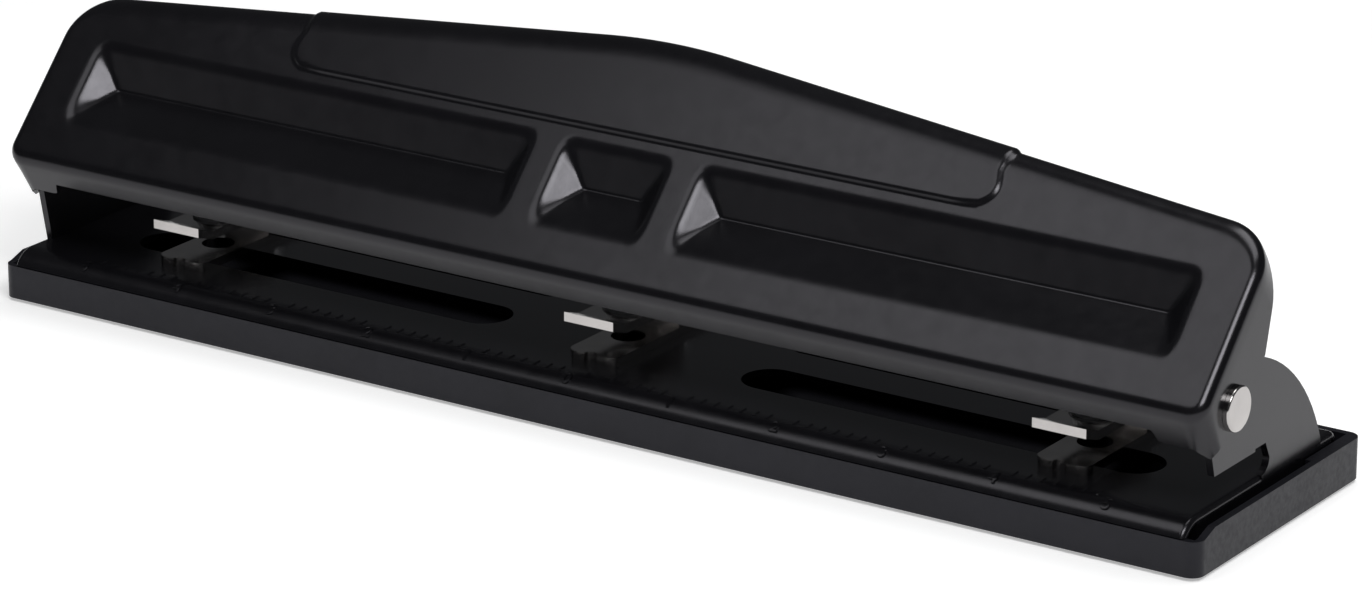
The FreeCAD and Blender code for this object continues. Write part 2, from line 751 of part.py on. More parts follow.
def make_bar():
    bar = new_body("press_bar")
    shape = new_sketch(bar, "YZ_Plane")
    ring(shape, (BAR_Y, BAR_Z), size("bar_thick") / 2)
    pad(bar, shape, (EAR_INSIDE - size("bar_end_gap")) * 2, symmetric=True)
    round_edges(bar, lambda edge: edge.Closed, size("bar_thick") / 10, chamfer=True)
    keep(bar, "press_bar")


def make_bar_clips():
    rings = []
    for side in (-1, 1):
        start = HANGER_OUTER + size("hanger_sheet") / 2
        if side < 0:
            start = -start - size("bar_clip_thick")
        clip = new_body("bar_clip_%s" % ("left" if side < 0 else "right"))
        shape = new_sketch(clip, "YZ_Plane", start)
        ring(shape, (BAR_Y, BAR_Z), size("bar_clip_outer") / 2)
        ring(shape, (BAR_Y, BAR_Z), size("bar_thick") / 2)
        pad(clip, shape, size("bar_clip_thick"))
        rings.append(clip)
    group = doc.addObject("Part::Compound", "bar_clips")
    group.Links = rings
    keep(group, "bar_clips")


# ---- turned pieces -----------------------------------------------------------

def turned(label, profile):
    """A piece turned about its own z axis from (radius, height) corners."""
    piece = new_body(label)
    half_section = new_sketch(piece, "XZ_Plane")
    outline(half_section, profile)
    revolve(piece, half_section)
    return piece


def lay_on_hinge(piece, side):
    """Turn a piece's z axis outwards along the hinge axis."""
    piece.Placement = Placement(Vector(0, 0, 0), Rotation(ALONG_Y, 90 * side))
    place(piece, y=HINGE_Y, z=HINGE_Z)


def make_hinge(label, side):
    shank = size("rivet_shank") / 2
    tail = size("rivet_tail") / 2
    head = size("rivet_head") / 2
    head_under = HANDLE_HALF + size("run_clear")
    head_top = head_under + size("rivet_head_thick")
    tail_end = EAR_INSIDE - size("rivet_head_thick")
    rivet = turned(label + "_hinge_rivet", [
        (ZERO, tail_end), (tail, tail_end), (tail, EAR_INSIDE), (shank, EAR_INSIDE),
        (shank, head_under), (head, head_under), (head, head_top), (ZERO, head_top)])
    round_edges(rivet, lambda edge: near(edge.CenterOfMass.z, head_top)
                and edge.Closed and edge.Length > number(tail) * 6,
                size("rivet_head_thick") / 3)
    lay_on_hinge(rivet, side)
    keep(rivet, label + "_hinge_rivet")
    outer = size("washer_outer") / 2
    top = HANDLE_INSIDE - size("run_clear")
    washer = turned(label + "_hinge_washer", [
        (shank, BASE_HALF), (outer, BASE_HALF), (outer, top), (shank, top)])
    lay_on_hinge(washer, side)
    keep(washer, label + "_hinge_washer")


# ---- punch heads -------------------------------------------------------------

def make_bracket(label, centre):
    """Die plate, paper stop, upper plate with a flared edge, and a foot."""
    bracket = new_body(label)
    side = new_sketch(bracket, "YZ_Plane")
    stop = back(size("head_stop"))
    rear = stop + size("head_sheet")
    lip = back(size("lip_front"))
    flare = back(size("lip_back"))
    rise = size("lip_rise")
    outline(side, [
        (back(size("head_front")), BASE_TOP),
        (back(size("head_foot")), BASE_TOP),
        (back(size("head_foot")), DIE_TOP),
        (rear, DIE_TOP),
        (rear, GUIDE_TOP),
        (flare, GUIDE_TOP),
        (lip, GUIDE_TOP + rise),
        (lip, THROAT_TOP + rise),
        (flare, THROAT_TOP),
        (stop, THROAT_TOP),
        (stop, DIE_TOP),
        (back(size("head_front")), DIE_TOP),
    ])
    pad(bracket, side, size("head_width"), symmetric=True)
    top_back = back(size("head_stop")) + size("head_sheet")
    round_edges(bracket, lambda edge: runs_along(edge, ALONG_X)
                and near(edge.CenterOfMass.y, top_back)
                and near(edge.CenterOfMass.z, GUIDE_TOP), size("head_bend"))
    front = back(size("head_front"))
    round_edges(bracket, lambda edge: runs_along(edge, ALONG_Z)
                and near(edge.CenterOfMass.y, front), size("head_corner"))
    die = new_sketch(bracket, "XY_Plane", DIE_TOP)
    ring(die, (ZERO, PIN_Y), PIN_RADIUS + size("die_clear"))
    pocket(bracket, die, size("head_sheet") + 1)
    guide = new_sketch(bracket, "XY_Plane", GUIDE_TOP)
    ring(guide, (ZERO, PIN_Y), BUSH_RADIUS)
    pocket(bracket, guide, size("head_sheet") + 1)
    cuts = new_sketch(bracket, "XY_Plane")
    ring(cuts, (ZERO, SCREW_Y), size("screw_wide") / 2 + size("screw_clear"))
    pocket(bracket, cuts)
    notch = new_sketch(bracket, "XY_Plane", DIE_TOP)
    ring(notch, (ZERO, front), size("head_notch"))
    pocket(bracket, notch, size("head_sheet") + 1)
    place(bracket, x=centre)
    keep(bracket, label)


def make_pin(label, centre):
    radius = PIN_RADIUS
    crown = size("pin_crown")
    groove = GROOVE_RADIUS
    pin = turned(label, [
        (ZERO, PIN_TIP), (radius, PIN_TIP), (radius, CLIP_UNDER), (groove, CLIP_UNDER),
        (groove, CLIP_TOP), (radius, CLIP_TOP), (radius, PIN_TOP - crown / 2),
        (radius - crown, PIN_TOP), (ZERO, PIN_TOP)])
    bevel = new_sketch(pin, "XZ_Plane")
    outline(bevel, [(-radius, PIN_TIP), (ZERO, PIN_TIP + size("pin_bevel")),
                    (radius, PIN_TIP), (ZERO, PIN_TIP - radius)])
    pocket(pin, bevel)
    place(pin, x=centre, y=PIN_Y)
    keep(pin, label)


def make_bush(label, centre):
    flange = BUSH_RADIUS + size("bush_flange")
    bush = turned(label, [
        (BUSH_BORE, THROAT_TOP), (BUSH_RADIUS, THROAT_TOP), (BUSH_RADIUS, GUIDE_TOP),
        (flange, GUIDE_TOP), (flange, SPRING_FOOT), (BUSH_BORE, SPRING_FOOT)])
    place(bush, x=centre, y=PIN_Y)
    keep(bush, label)


def make_clip(label, centre):
    groove = GROOVE_RADIUS
    outer = PIN_RADIUS + size("clip_wide")
    clip = turned(label, [
        (groove, CLIP_UNDER), (outer, CLIP_UNDER), (outer, CLIP_TOP), (groove, CLIP_TOP)])
    mouth = new_sketch(clip, "XY_Plane", CLIP_TOP)
    gap = groove * 0.8
    box_outline(mouth, (-gap, groove / 2), (gap, outer + 1))
    pocket(clip, mouth, size("clip_thick") + 1)
    place(clip, x=centre, y=PIN_Y)
    keep(clip, label)


def make_spring(label, centre):
    """A round wire swept along a helix between bush and clip."""
    wire = size("spring_wire")
    mean_radius = PIN_RADIUS + size("spring_clear") + wire / 2
    coil = doc.addObject("Part::Helix", label + "_line")
    bind(coil, "Radius", mean_radius)
    height = CLIP_UNDER - SPRING_FOOT - wire
    bind(coil, "Height", height)
    bind(coil, "Pitch", height / size("spring_turns"))
    section = doc.addObject("Part::Circle", label + "_wire")
    bind(section, "Radius", wire / 2)
    section.Placement = Placement(Vector(0, 0, 0), Rotation(ALONG_X, 90))
    bind(section, ".Placement.Base.x", mean_radius)
    doc.recompute()
    spring = doc.addObject("Part::Sweep", label)
    spring.Sections = [section]
    spring.Spine = (coil, ["Edge%d" % (i + 1) for i in range(len(coil.Shape.Edges))])
    spring.Solid = True
    spring.Frenet = True
    place(spring, centre, PIN_Y, SPRING_FOOT + wire / 2)
    keep(spring, label)


def make_lock(label, centre):
    nut_top = BASE_UNDER
    nut_low = nut_top - size("nut_tall")
    tail = nut_low - size("screw_tail")
    shank = size("screw_wide") / 2
    head = size("screw_head") / 2
    top = DIE_TOP + size("screw_head_tall")
    screw = turned(label + "_lock_screw", [
        (ZERO, tail), (shank, tail), (shank, DIE_TOP), (head, DIE_TOP), (head, top),
        (ZERO, top)])
    round_edges(screw, lambda edge: edge.Closed and near(edge.CenterOfMass.z, top),
                size("screw_head_tall") / 3)
    slit = new_sketch(screw, "XZ_Plane")
    half_slot = size("screw_slot") / 2
    box_outline(slit, (-half_slot, top - size("screw_slot_deep")), (half_slot, top + 1))
    pocket(screw, slit)
    place(screw, x=centre, y=SCREW_Y)
    keep(screw, label + "_lock_screw")
    nut = new_body(label + "_lock_nut")
    half_nut = size("nut_wide") / 2
    shape = new_sketch(nut, "XY_Plane", nut_low)
    box_outline(shape, (-half_nut, -half_nut), (half_nut, half_nut))
    ring(shape, (ZERO, ZERO), shank)
    pad(nut, shape, size("nut_tall"))
    place(nut, x=centre, y=SCREW_Y)
    keep(nut, label + "_lock_nut")


def make_head(label, centre):
    make_bracket(label + "_head_bracket", centre)
    make_bush(label + "_guide_bush", centre)
    make_pin(label + "_punch_pin", centre)
    make_clip(label + "_spring_clip", centre)
    make_spring(label + "_return_spring", centre)
    make_lock(label, centre)


# ---- the whole punch ---------------------------------------------------------

make_tray()
make_pads()
make_base()
make_handle()
make_hanger("left_outer_hanger", -HANGER_OUTER)
make_hanger("left_inner_hanger", -size("hanger_inner"))
make_hanger("right_inner_hanger", size("hanger_inner"))
make_hanger("right_outer_hanger", HANGER_OUTER)
make_bar()
make_bar_clips()
make_hinge("left", -1)
make_hinge("right", 1)
make_head("left", -size("head_spacing"))
make_head("center", ZERO)
make_head("right", size("head_right"))
doc.recompute()

for item in doc.Objects:
    if "Invalid" in item.State or "Error" in item.State:
        raise RuntimeError("failed feature: " + item.Name)
os.makedirs("parts", exist_ok=True)
for node in NODES:
    shape = node.Shape
    if shape.isNull() or not shape.isValid() or not shape.Solids:
        raise RuntimeError("bad shape: " + node.Label)
    shape.exportStep("parts/%s.step" % node.Label)
    print("%-22s %2d solid %9.1f mm3" % (node.Label, len(shape.Solids), shape.Volume))
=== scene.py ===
"""Three-hole paper punch: pressed handle, springs, stamped scale and finishes.

Laid out as an add-on. Everything is in metres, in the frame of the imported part.
"""

import json
from math import asin, atan, cos, hypot, pi, radians, sin, sqrt, tan

import bmesh
import bpy
from bpy.props import FloatProperty, FloatVectorProperty, IntProperty, PointerProperty
from mathutils import Matrix, Vector


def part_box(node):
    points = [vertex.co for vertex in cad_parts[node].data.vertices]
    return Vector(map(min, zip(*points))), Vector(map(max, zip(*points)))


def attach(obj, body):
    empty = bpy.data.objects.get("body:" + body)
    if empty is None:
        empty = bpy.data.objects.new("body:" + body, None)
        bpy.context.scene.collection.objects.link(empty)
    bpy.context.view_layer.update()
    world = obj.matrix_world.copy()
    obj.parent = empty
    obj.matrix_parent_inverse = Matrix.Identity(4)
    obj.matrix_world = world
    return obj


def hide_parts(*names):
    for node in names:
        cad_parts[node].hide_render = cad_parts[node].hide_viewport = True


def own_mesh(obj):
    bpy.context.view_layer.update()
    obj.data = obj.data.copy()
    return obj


bl_info = {
    "name": "Three-Hole Punch",
    "version": (1, 0, 0),
    "blender": (4, 5, 0),
    "location": "View3D > Sidebar > Punch",
    "description": "Pressed handle, springs, stamped scale and finishes of a paper punch",
    "category": "Object",
}

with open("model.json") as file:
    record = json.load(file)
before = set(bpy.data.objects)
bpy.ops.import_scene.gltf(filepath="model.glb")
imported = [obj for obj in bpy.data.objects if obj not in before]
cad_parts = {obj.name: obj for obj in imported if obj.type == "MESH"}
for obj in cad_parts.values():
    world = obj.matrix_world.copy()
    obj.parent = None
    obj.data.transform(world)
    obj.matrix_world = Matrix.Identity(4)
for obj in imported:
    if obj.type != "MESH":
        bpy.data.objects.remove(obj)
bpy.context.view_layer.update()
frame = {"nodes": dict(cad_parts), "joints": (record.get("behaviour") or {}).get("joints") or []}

MM = 0.001
HINGE = next(j for j in frame["joints"] if j["name"] == "handle_hinge")["pos_m"]

# ---- the handle's own sizes, in millimetres on its sloping face ----------------
# x runs along the handle, s up its slope and depth behind its front face.

SLOPE = radians(47.0)
FOOT_AHEAD = 11.75
FOOT_RISE = 3.1
HALF = 147.8
APEX = 54.6
SHOULDER = 39.2
APEX_BEND = 150.0
CORNER = 12.0
LIP_START = -2.1
LIP_END = -4.1
LIP_DEPTH = 5.9
LIP_TAB = 3.0
LIP_TAB_START = 135.5
LIP_TAB_RISE = 1.2
RIM_DEPTH = 3.1
RIM_EDGE = 0.3
CHEEK = [(-4.1, 5.9), (-4.0, 11.5), (19.1, 14.6), (28.4, 9.5), (38.2, 3.1)]
CHEEK_TOP = 38.2
LUG_RADIUS = 4.4
LUG_S = 5.75
LUG_DEPTH = 10.71
FOOT_CORNER = 1.4
RECESSES = [(-136.2, -20.6), (-13.2, 13.2), (20.6, 136.2)]
RECESS_LOW = 9.0
RECESS_VALLEY = 19.8
RECESS_HIGH = 28.0
RECESS_HIP = 6.0
RECESS_CORNER = 2.6
RECESS_CORNER_FADE = 1.6
RECESS_BLEND = 3.6
PANEL_HALF = 87.5
PANEL_LOW = 31.5
PANEL_CORNER = 6.0
PANEL_SWEEP = 2.4
PANEL_SWEEP_START = 2.0
NEAR = 0.001

FALL = (APEX - SHOULDER) / HALF
LEAN = atan(FALL)
LIP_TURN = atan(LIP_DEPTH / (LIP_START - LIP_END))

# Crossings of the sheet's net: a start, then each stretch's end and its step.
COLUMN_STOPS = [0.0, (6.0, 1.0), (14.6, 0.45), (19.4, 1.0), (27.8, 0.45), (84.0, 3.0),
                (90.5, 0.5), (129.0, 3.0)]
COLUMN_STEP = 0.45
END_COLUMNS = 14
ROW_STOPS = [(7.6, 0.6), (18.6, 0.5), (21.0, 0.2), (29.4, 0.45), (30.4, 1.0)]
ROW_STEP = 0.3
EVEN_ROWS_TOP = 34.5
UPPER_ROWS = 16
BEND_STEPS = 8
WALL_STEPS = 4


# ---- small helpers --------------------------------------------------------------

def between(low, high, share):
    return low + (high - low) * share


def clamp(value, low=0.0, high=1.0):
    return min(high, max(low, value))


def ease(value):
    """A smooth rise from 0 to 1 as value goes from 0 to 1."""
    value = clamp(value)
    return value * value * (3 - 2 * value)


def soft_min(a, b, soft):
    """The lesser of two, with a round of about that size where they meet."""
    mix = clamp(0.5 + 0.5 * (b - a) / soft)
    return b + (a - b) * mix - soft * mix * (1 - mix)


def soft_max(a, b, soft):
    return -soft_min(-a, -b, soft)


def along(points, place):
    """Height of a chain of straight runs at a place."""
    if place <= points[0][0]:
        return points[0][1]
    for (a, low), (b, high) in zip(points, points[1:]):
        if place <= b:
            return between(low, high, (place - a) / (b - a))
    return points[-1][1]


def marks(stops):
    """Places from the first stop on, each stretch divided by its own step."""
    start = stops[0]
    places = [start]
    for end, step in stops[1:]:
        count = max(1, round((end - start) / step))
        places += [between(start, end, (i + 1) / count) for i in range(count)]
        start = end
    return places


def on_slope(x, s, depth):
    """A point of the sloping face, in the punch's own frame, in metres."""
    y = HINGE[1] / MM - FOOT_AHEAD + s * cos(SLOPE) + depth * sin(SLOPE)
    z = HINGE[2] / MM + FOOT_RISE + s * sin(SLOPE) - depth * cos(SLOPE)
    return Vector((x, y, z)) * MM


def new_piece(name, mesh_in, material, body):
    """A finished mesh as an object that rides on a body."""
    mesh = bpy.data.meshes.new(name)
    mesh_in.to_mesh(mesh)
    mesh_in.free()
    piece = bpy.data.objects.new(name, mesh)
    bpy.context.scene.collection.objects.link(piece)
    mesh.materials.append(finish(material))
    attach(piece, body)
    return piece


def shade(mesh_in, angle=35.0):
    """Smooth faces, with a crisp edge wherever the sheet turns sharply."""
    for face in mesh_in.faces:
        face.smooth = True
    for edge in mesh_in.edges:
        if len(edge.link_faces) == 2:
            edge.smooth = edge.calc_face_angle(0.0) < radians(angle)


# ---- finishes ---------------------------------------------------------------------

class Finish:
    """A node material under construction."""

    def __init__(self, name):
        self.material = bpy.data.materials.new(name)
        self.material.use_nodes = True
        self.tree = self.material.node_tree
        self.shader = self.tree.nodes["Principled BSDF"]
        self.coordinates = self.tree.nodes.new("ShaderNodeTexCoord").outputs["Object"]

    def set(self, **values):
        for name, value in values.items():
            self.shader.inputs[name.replace("_", " ")].default_value = value

    def link(self, source, target):
        self.tree.links.new(source, target)

    def stretched(self, scale):
        """The object's coordinates, pulled out along one way or another."""
        mapping = self.tree.nodes.new("ShaderNodeMapping")
        mapping.inputs["Scale"].default_value = scale
        self.link(self.coordinates, mapping.inputs["Vector"])
        return mapping.outputs["Vector"]

    def noise(self, scale, detail=3.0, rough=0.5, vector=None):
        node = self.tree.nodes.new("ShaderNodeTexNoise")
        node.inputs["Scale"].default_value = scale
        node.inputs["Detail"].default_value = detail
        node.inputs["Roughness"].default_value = rough
        self.link(vector or self.coordinates, node.inputs["Vector"])
        return node.outputs["Fac"]

    def cells(self, scale):
        node = self.tree.nodes.new("ShaderNodeTexVoronoi")
        node.inputs["Scale"].default_value = scale
        self.link(self.coordinates, node.inputs["Vector"])
        return node.outputs["Distance"]

    def spread(self, source, low, high, start=0.3, end=0.7):
        node = self.tree.nodes.new("ShaderNodeMapRange")
        for name, value in (("From Min", start), ("From Max", end),
                            ("To Min", low), ("To Max", high)):
            node.inputs[name].default_value = value
        self.link(source, node.inputs["Value"])
        return node.outputs["Result"]

    def shades(self, source, dark, light, start=0.35, end=0.65):
        node = self.tree.nodes.new("ShaderNodeValToRGB")
        node.color_ramp.elements[0].position = start
        node.color_ramp.elements[0].color = (*dark, 1.0)
        node.color_ramp.elements[1].position = end
        node.color_ramp.elements[1].color = (*light, 1.0)
        self.link(source, node.inputs["Fac"])
        return node.outputs["Color"]

    def colour(self, source, tone, swing, start=0.35, end=0.65):
        """The tone, darker and lighter by a share of itself."""
        dark = [c * (1 - swing) for c in tone]
        light = [c * (1 + swing) for c in tone]
        self.link(self.shades(source, dark, light, start, end),
                  self.shader.inputs["Base Color"])

    def roughness(self, source, low, high):
        self.link(self.spread(source, low, high), self.shader.inputs["Roughness"])

    def bump(self, source, height, strength, under=None):
        node = self.tree.nodes.new("ShaderNodeBump")
        node.inputs["Strength"].default_value = strength
        node.inputs["Distance"].default_value = height
        self.link(source, node.inputs["Height"])
        if under:
            self.link(under, node.inputs["Normal"])
        self.link(node.outputs["Normal"], self.shader.inputs["Normal"])
        return node.outputs["Normal"]


def black_enamel(tones):
    paint = Finish("black_enamel")
    paint.set(IOR=1.46, Specular_IOR_Level=0.45, Specular_Tint=(0.95, 0.93, 1.0, 1.0))
    paint.colour(paint.noise(38.0, 4.0), tones.enamel, 0.15)
    paint.roughness(paint.noise(260.0, 5.0, 0.6), tones.enamel_rough - 0.03,
                    tones.enamel_rough + 0.03)
    flow = paint.bump(paint.noise(420.0, 2.0), 0.00003, 0.05)
    paint.bump(paint.noise(4200.0, 2.0), 0.00001, 0.10, flow)
    return paint.material


def tray_plastic(tones):
    moulded = Finish("tray_plastic")
    moulded.set(IOR=1.44, Specular_IOR_Level=0.32, Specular_Tint=(0.92, 0.92, 1.0, 1.0))
    moulded.colour(moulded.noise(55.0, 4.0), tones.tray, 0.16)
    moulded.roughness(moulded.noise(900.0, 4.0), 0.36, 0.50)
    moulded.bump(moulded.noise(2600.0, 3.0, 0.6), 0.00004, 0.35)
    return moulded.material


def bright_nickel(tones):
    plate = Finish("bright_nickel")
    plate.set(Metallic=1.0)
    plate.colour(plate.noise(140.0, 5.0), tones.nickel, 0.06)
    grain = plate.noise(30.0, 6.0, 0.65, plate.stretched((6.0, 60.0, 60.0)))
    plate.roughness(grain, 0.10, 0.20)
    plate.bump(grain, 0.00001, 0.05)
    return plate.material


def zinc_plate(tones):
    plate = Finish("zinc_plate")
    plate.set(Metallic=1.0)
    plate.colour(plate.cells(420.0), tones.zinc, 0.16, 0.1, 0.7)
    plate.roughness(plate.noise(500.0, 4.0), 0.26, 0.46)
    plate.bump(plate.noise(1500.0, 3.0), 0.00003, 0.2)
    return plate.material


def ground_steel(tones):
    steel = Finish("ground_steel")
    steel.set(Metallic=1.0)
    rings = steel.noise(26.0, 6.0, 0.7, steel.stretched((2.0, 8.0, 150.0)))
    steel.colour(rings, tones.steel, 0.20)
    steel.roughness(rings, 0.20, 0.38)
    steel.bump(rings, 0.00002, 0.18)
    return steel.material


def spring_steel(tones):
    wire = Finish("spring_steel")
    wire.set(Metallic=1.0)
    wire.colour(wire.noise(900.0, 3.0), [c * 0.8 for c in tones.steel], 0.22)
    wire.roughness(wire.noise(1400.0, 3.0), 0.22, 0.40)
    wire.bump(wire.noise(3200.0, 2.0), 0.00001, 0.2)
    return wire.material


def foot_rubber(tones):
    rubber = Finish("foot_rubber")
    rubber.set(IOR=1.45)
    rubber.colour(rubber.noise(300.0, 4.0), tones.rubber, 0.3)
    rubber.roughness(rubber.noise(1200.0, 3.0), 0.72, 0.92)
    rubber.bump(rubber.noise(1800.0, 4.0), 0.00008, 0.5)
    return rubber.material


FINISHES = {
    "gloss_black": black_enamel,
    "tray_black": tray_plastic,
    "nickel": bright_nickel,
    "zinc": zinc_plate,
    "tool_steel": ground_steel,
    "spring_steel": spring_steel,
    "pad_black": foot_rubber,
}


def finish(slot):
    """The finish for a material slot, made once."""
    maker = FINISHES[slot]
    made = bpy.data.materials.get(maker.__name__)
    return made or maker(bpy.context.scene.punch_tones)


# ---- sizes and tones that a user would change ------------------------------------

def length(name, note, default):
    return FloatProperty(name=name, description=note, default=default * MM, min=0.0,
                         unit="LENGTH", subtype="DISTANCE", precision=5)


def tone(name, note, default):
    return FloatVectorProperty(name=name, description=note, default=default, size=3,
                               min=0.0, max=1.0, subtype="COLOR")


class PunchTones(bpy.types.PropertyGroup):
    enamel: tone("Enamel", "Baked enamel of handle and base frame", (0.0040, 0.0039, 0.0048))
    enamel_rough: FloatProperty(name="Enamel roughness", default=0.23, min=0.0, max=1.0,
                                description="Spread of the enamel's highlights",
                                subtype="FACTOR")
    tray: tone("Tray", "Moulded plastic of the chip tray", (0.0085, 0.0085, 0.0110))
    nickel: tone("Nickel", "Plating of heads and rivets", (0.47, 0.45, 0.44))
    zinc: tone("Zinc", "Plating of hangers, screws and nuts", (0.56, 0.57, 0.58))
    steel: tone("Steel", "Ground steel of pins, bushes and bar", (0.36, 0.36, 0.37))
    rubber: tone("Rubber", "Feet under the tray", (0.018, 0.018, 0.019))


class PunchHandleSizes(bpy.types.PropertyGroup):
    sheet: length("Sheet", "Thickness of the pressed sheet", 1.2)
    side_bend: length("Side bend", "Outer radius between face and cheeks", 2.4)
    top_roll: length("Top roll", "Run of the roll along the top edge", 5.6)
    lip_bend: length("Lip bend", "Outer radius between face and lip", 3.2)
    recess_deep: length("Recess depth", "Depth of the pressed recesses", 5.0)
    recess_lip: length("Recess lip", "Softness of a recess's upper edge", 0.8)
    recess_fold: length("Recess fold", "Softness of a recess's inner folds", 0.45)
    grip_rise: length("Grip rise", "Height of the raised grip panel", 0.7)
    grip_edge: length("Grip edge", "Width of the step around the grip panel", 1.3)


class PunchSpringSizes(bpy.types.PropertyGroup):
    wire: length("Wire", "Thickness of the spring wire", 0.7)
    mean: length("Mean diameter", "Diameter of the coil to the wire's middle", 8.5)
    keep: FloatProperty(name="Pressed length", default=0.298, min=0.05, max=1.0,
                        description="Share of its length that a spring keeps when pressed",
                        subtype="FACTOR")


class PunchScaleSizes(bpy.types.PropertyGroup):
    tick: length("Tick length", "Length of a stroke of the scale", 2.0)
    stroke: length("Tick width", "Width of a stroke of the scale", 0.5)
    digit: length("Digit height", "Height of the numbers", 2.9)
    proud: length("Relief", "Height of strokes and numbers above the plate", 0.28)
    reach: IntProperty(name="Reach", description="Inches either side of the middle",
                       default=5, min=1, max=5)


class PunchStageSizes(bpy.types.PropertyGroup):
    floor: FloatProperty(name="Floor", description="Radius of the floor", default=4.0,
                         min=0.5, unit="LENGTH", subtype="DISTANCE")
    key: FloatProperty(name="Key light", description="Strength of the main softbox",
                       default=13.0, min=0.0)
    fill: FloatProperty(name="Fill light", description="Strength of the fill softbox",
                        default=3.9, min=0.0)
    room: FloatProperty(name="Room light", description="Strength of the room's light",
                        default=0.06, min=0.0)


# ---- press handle -------------------------------------------------------------------

class HandleSheet:
    """The outer skin of the press handle, flat in its own x, s and depth."""

    def __init__(self, sizes):
        self.side = sizes.side_bend / MM
        self.roll = sizes.top_roll / MM
        self.lip = sizes.lip_bend / MM
        self.deep = sizes.recess_deep / MM
        self.soft_lip = sizes.recess_lip / MM
        self.fold = sizes.recess_fold / MM
        self.rise = sizes.grip_rise / MM
        self.step = sizes.grip_edge / MM
        self.low = LIP_START + self.lip * tan(LIP_TURN / 2)
        self.corner_x = HALF - CORNER
        self.corner_s = APEX - FALL * self.corner_x - CORNER / cos(LEAN)
        self.main_end = self.corner_x + (CORNER - self.roll) * sin(LEAN)
        self.foot_x = HALF - self.side - FOOT_CORNER
        self.foot_s = self.low + FOOT_CORNER
        self.columns = marks(COLUMN_STOPS + [(self.main_end, COLUMN_STEP)])
        self.rows = marks([self.low] + ROW_STOPS + [(EVEN_ROWS_TOP, ROW_STEP)])

    def top(self, x, inset):
        """The sloping top edge, moved in by inset, with its rounded peak."""
        x = abs(x)
        radius = APEX_BEND - inset
        if x < radius * sin(LEAN):
            return APEX - APEX_BEND / cos(LEAN) + sqrt(radius * radius - x * x)
        return APEX - FALL * x - inset / cos(LEAN)

    def place(self, column, row):
        """Where a crossing of the net lies on the face, as x and s."""
        side = -1 if column < 0 else 1
        column = abs(column)
        main = len(self.columns) - 1
        x = self.columns[min(column, main)]
        top = self.top(x, self.roll)
        last = len(self.rows) - 1
        if row <= last:
            s = self.rows[row]
        else:
            s = between(EVEN_ROWS_TOP, top, (row - last) / UPPER_ROWS)
        if column > main:
            share = (column - main) / END_COLUMNS
            turn = between(LEAN, pi / 2, share)
            inset = between(self.roll, self.side, ease(share))
            high = (self.corner_x + (CORNER - inset) * sin(turn),
                    self.corner_s + (CORNER - inset) * cos(turn))
            if share < 0.5:
                foot = (between(self.main_end, self.foot_x, share * 2), self.low)
            else:
                turn = (share - 0.5) * pi
                foot = (self.foot_x + FOOT_CORNER * sin(turn),
                        self.foot_s - FOOT_CORNER * cos(turn))
            rise = (s - self.low) / (top - self.low)
            x = between(foot[0], high[0], rise)
            s = between(foot[1], high[1], rise)
        return side * x, s

    def recess(self, x, s):
        """Depth of the three hip-ended recesses."""
        lower = self.deep / (RECESS_VALLEY - RECESS_LOW)
        upper = self.deep / (RECESS_HIGH - RECESS_VALLEY)
        hip = self.deep / RECESS_HIP
        for start, end in RECESSES:
            if start - RECESS_BLEND < x < end + RECESS_BLEND:
                walls = soft_min((s - RECESS_LOW) * lower, (RECESS_HIGH - s) * upper,
                                 self.fold)
                ends = soft_min((x - start) * hip, (end - x) * hip, self.fold)
                low_down = clamp(min(walls, ends) / self.deep * RECESS_CORNER_FADE)
                corner = between(RECESS_CORNER, self.fold, low_down)
                return soft_max(soft_min(walls, ends, corner), 0.0, self.soft_lip)
        return 0.0

    def grip(self, x, s, top):
        """Height of the raised panel, which runs on over the top edge."""
        start = PANEL_LOW + PANEL_SWEEP_START
        sweep = PANEL_SWEEP * ease((s - start) / max(1.0, top - start))
        across = PANEL_HALF - sweep - abs(x)
        up = s - PANEL_LOW
        if across < PANEL_CORNER and up < PANEL_CORNER:
            inside = PANEL_CORNER - hypot(PANEL_CORNER - across, PANEL_CORNER - up)
        else:
            inside = min(across, up)
        return self.rise * ease(inside / self.step + 0.5)

    def edge_point(self, x, s, out):
        """Bend run, bend drop, turn and final place for a point of the outline."""
        sideways = abs(out[0])
        if out[1] >= 0.0:
            upright = ease(1 - (asin(clamp(sideways)) - LEAN) / (pi / 2 - LEAN))
            run = between(self.side, self.roll, upright)
            drop = between(self.side, RIM_DEPTH - RIM_EDGE, upright)
            turn = pi / 2
        else:
            run = drop = between(self.lip, self.side, sideways)
            turn = between(LIP_TURN, pi / 2, sideways)
        reach = run * sin(turn)
        end_x = x + out[0] * run
        end_s = s + out[1] * reach
        if end_s < CHEEK_TOP:
            share = (s - self.low) / (CHEEK_TOP - self.low)
            if out[1] > 0.0:
                share = (end_s - self.low) / (CHEEK_TOP - self.low)
            end_s = between(LIP_END, CHEEK_TOP, share)
        depth = along(CHEEK, end_s)
        if abs(end_s - LUG_S) < LUG_RADIUS and sideways > 0.99:
            round_off = sqrt(LUG_RADIUS ** 2 - (end_s - LUG_S) ** 2)
            depth = max(depth, LUG_DEPTH + round_off)
        if out[1] < 0.0:
            tab = LIP_TAB * ease((abs(x) - LIP_TAB_START) / LIP_TAB_RISE)
            tab = min(tab, HALF - abs(end_x))
            end_s -= tab * cos(LIP_TURN)
            depth += tab * sin(LIP_TURN)
        return run, drop, turn, (end_x, end_s, max(depth, RIM_DEPTH))

